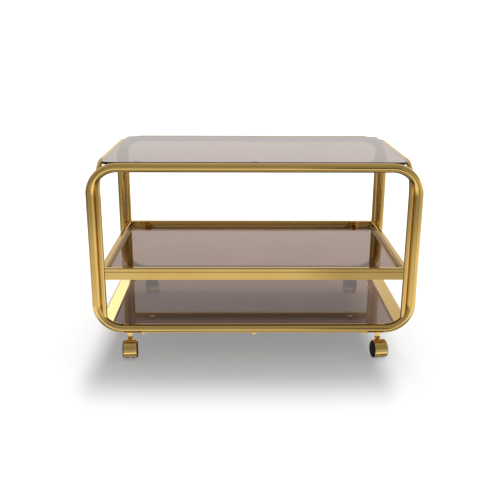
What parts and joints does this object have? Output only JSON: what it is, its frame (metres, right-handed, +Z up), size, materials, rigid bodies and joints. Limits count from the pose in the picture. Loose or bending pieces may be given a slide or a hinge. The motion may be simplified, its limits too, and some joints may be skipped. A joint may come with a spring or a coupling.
{
  "type": "bar cart",
  "caption": "Low bar cart with a rounded brass tube frame, smoked glass shelves with raised brass rails, and hooded swivel casters.",
  "frame": {"origin": "floor level, at the middle of the overall footprint", "axes": "+X to the right along the long side, +Y from the front to the back, +Z up"},
  "size_m": [0.75, 0.4756, 0.4575],
  "materials": {
    "brass": "polished and lacquered",
    "smoked_glass": "polished bronze-grey tint",
    "clear_rubber": "clear",
    "black_plastic": "satin black",
    "spring_steel": "bright"
  },
  "bodies": {
    "frame": {"front_loop": "brass", "back_loop": "brass", "left_hoop": "brass", "right_hoop": "brass", "mid_front_rail": "brass", "mid_back_rail": "brass", "mid_left_rail": "brass", "mid_right_rail": "brass", "bottom_left_rail": "brass", "bottom_right_rail": "brass", "top_glass": "smoked_glass", "middle_glass": "smoked_glass", "bottom_glass": "smoked_glass", "top_tabs": "brass", "middle_tabs": "brass", "bottom_tabs": "brass", "top_pads": "clear_rubber", "middle_pads": "clear_rubber", "bottom_pads": "clear_rubber", "front_left_socket": "brass", "front_right_socket": "brass", "back_left_socket": "brass", "back_right_socket": "brass"},
    "front_left_caster": {"front_left_stem": "brass", "front_left_grip_ring": "spring_steel", "front_left_hood": "brass", "front_left_axle": "spring_steel", "front_left_hub_caps": "black_plastic"},
    "front_left_left_wheel": {"front_left_left_wheel": "black_plastic"},
    "front_left_right_wheel": {"front_left_right_wheel": "black_plastic"},
    "front_right_caster": {"front_right_stem": "brass", "front_right_grip_ring": "spring_steel", "front_right_hood": "brass", "front_right_axle": "spring_steel", "front_right_hub_caps": "black_plastic"},
    "front_right_left_wheel": {"front_right_left_wheel": "black_plastic"},
    "front_right_right_wheel": {"front_right_right_wheel": "black_plastic"},
    "back_left_caster": {"back_left_stem": "brass", "back_left_grip_ring": "spring_steel", "back_left_hood": "brass", "back_left_axle": "spring_steel", "back_left_hub_caps": "black_plastic"},
    "back_left_left_wheel": {"back_left_left_wheel": "black_plastic"},
    "back_left_right_wheel": {"back_left_right_wheel": "black_plastic"},
    "back_right_caster": {"back_right_stem": "brass", "back_right_grip_ring": "spring_steel", "back_right_hood": "brass", "back_right_axle": "spring_steel", "back_right_hub_caps": "black_plastic"},
    "back_right_left_wheel": {"back_right_left_wheel": "black_plastic"},
    "back_right_right_wheel": {"back_right_right_wheel": "black_plastic"}
  },
  "joints": [
    {"name": "front_left_swivel", "type": "hinge", "parent": "frame", "child": "front_left_caster", "pos_m": [-0.291, -0.1995, 0.06], "axis": [0, 0, 1], "continuous": true},
    {"name": "front_left_left_spin", "type": "hinge", "parent": "front_left_caster", "child": "front_left_left_wheel", "pos_m": [-0.28978, -0.21345, 0.02], "axis": [-0.9962, -0.0872, 0], "continuous": true},
    {"name": "front_left_right_spin", "type": "hinge", "parent": "front_left_caster", "child": "front_left_right_wheel", "pos_m": [-0.28978, -0.21345, 0.02], "axis": [-0.9962, -0.0872, 0], "continuous": true},
    {"name": "front_right_swivel", "type": "hinge", "parent": "frame", "child": "front_right_caster", "pos_m": [0.291, -0.1995, 0.06], "axis": [0, 0, 1], "continuous": true},
    {"name": "front_right_left_spin", "type": "hinge", "parent": "front_right_caster", "child": "front_right_left_wheel", "pos_m": [0.29295, -0.21336, 0.02], "axis": [-0.9903, -0.1392, 0], "continuous": true},
    {"name": "front_right_right_spin", "type": "hinge", "parent": "front_right_caster", "child": "front_right_right_wheel", "pos_m": [0.29295, -0.21336, 0.02], "axis": [-0.9903, -0.1392, 0], "continuous": true},
    {"name": "back_left_swivel", "type": "hinge", "parent": "frame", "child": "back_left_caster", "pos_m": [-0.291, 0.2255, 0.06], "axis": [0, 0, 1], "continuous": true},
    {"name": "back_left_left_spin", "type": "hinge", "parent": "back_left_caster", "child": "back_left_left_wheel", "pos_m": [-0.28738, 0.21198, 0.02], "axis": [-0.9659, -0.2588, 0], "continuous": true},
    {"name": "back_left_right_spin", "type": "hinge", "parent": "back_left_caster", "child": "back_left_right_wheel", "pos_m": [-0.28738, 0.21198, 0.02], "axis": [-0.9659, -0.2588, 0], "continuous": true},
    {"name": "back_right_swivel", "type": "hinge", "parent": "frame", "child": "back_right_caster", "pos_m": [0.291, 0.2255, 0.06], "axis": [0, 0, 1], "continuous": true},
    {"name": "back_right_left_spin", "type": "hinge", "parent": "back_right_caster", "child": "back_right_left_wheel", "pos_m": [0.28621, 0.21234, 0.02], "axis": [-0.9397, 0.342, 0], "continuous": true},
    {"name": "back_right_right_spin", "type": "hinge", "parent": "back_right_caster", "child": "back_right_right_wheel", "pos_m": [0.28621, 0.21234, 0.02], "axis": [-0.9397, 0.342, 0], "continuous": true}
  ]
}
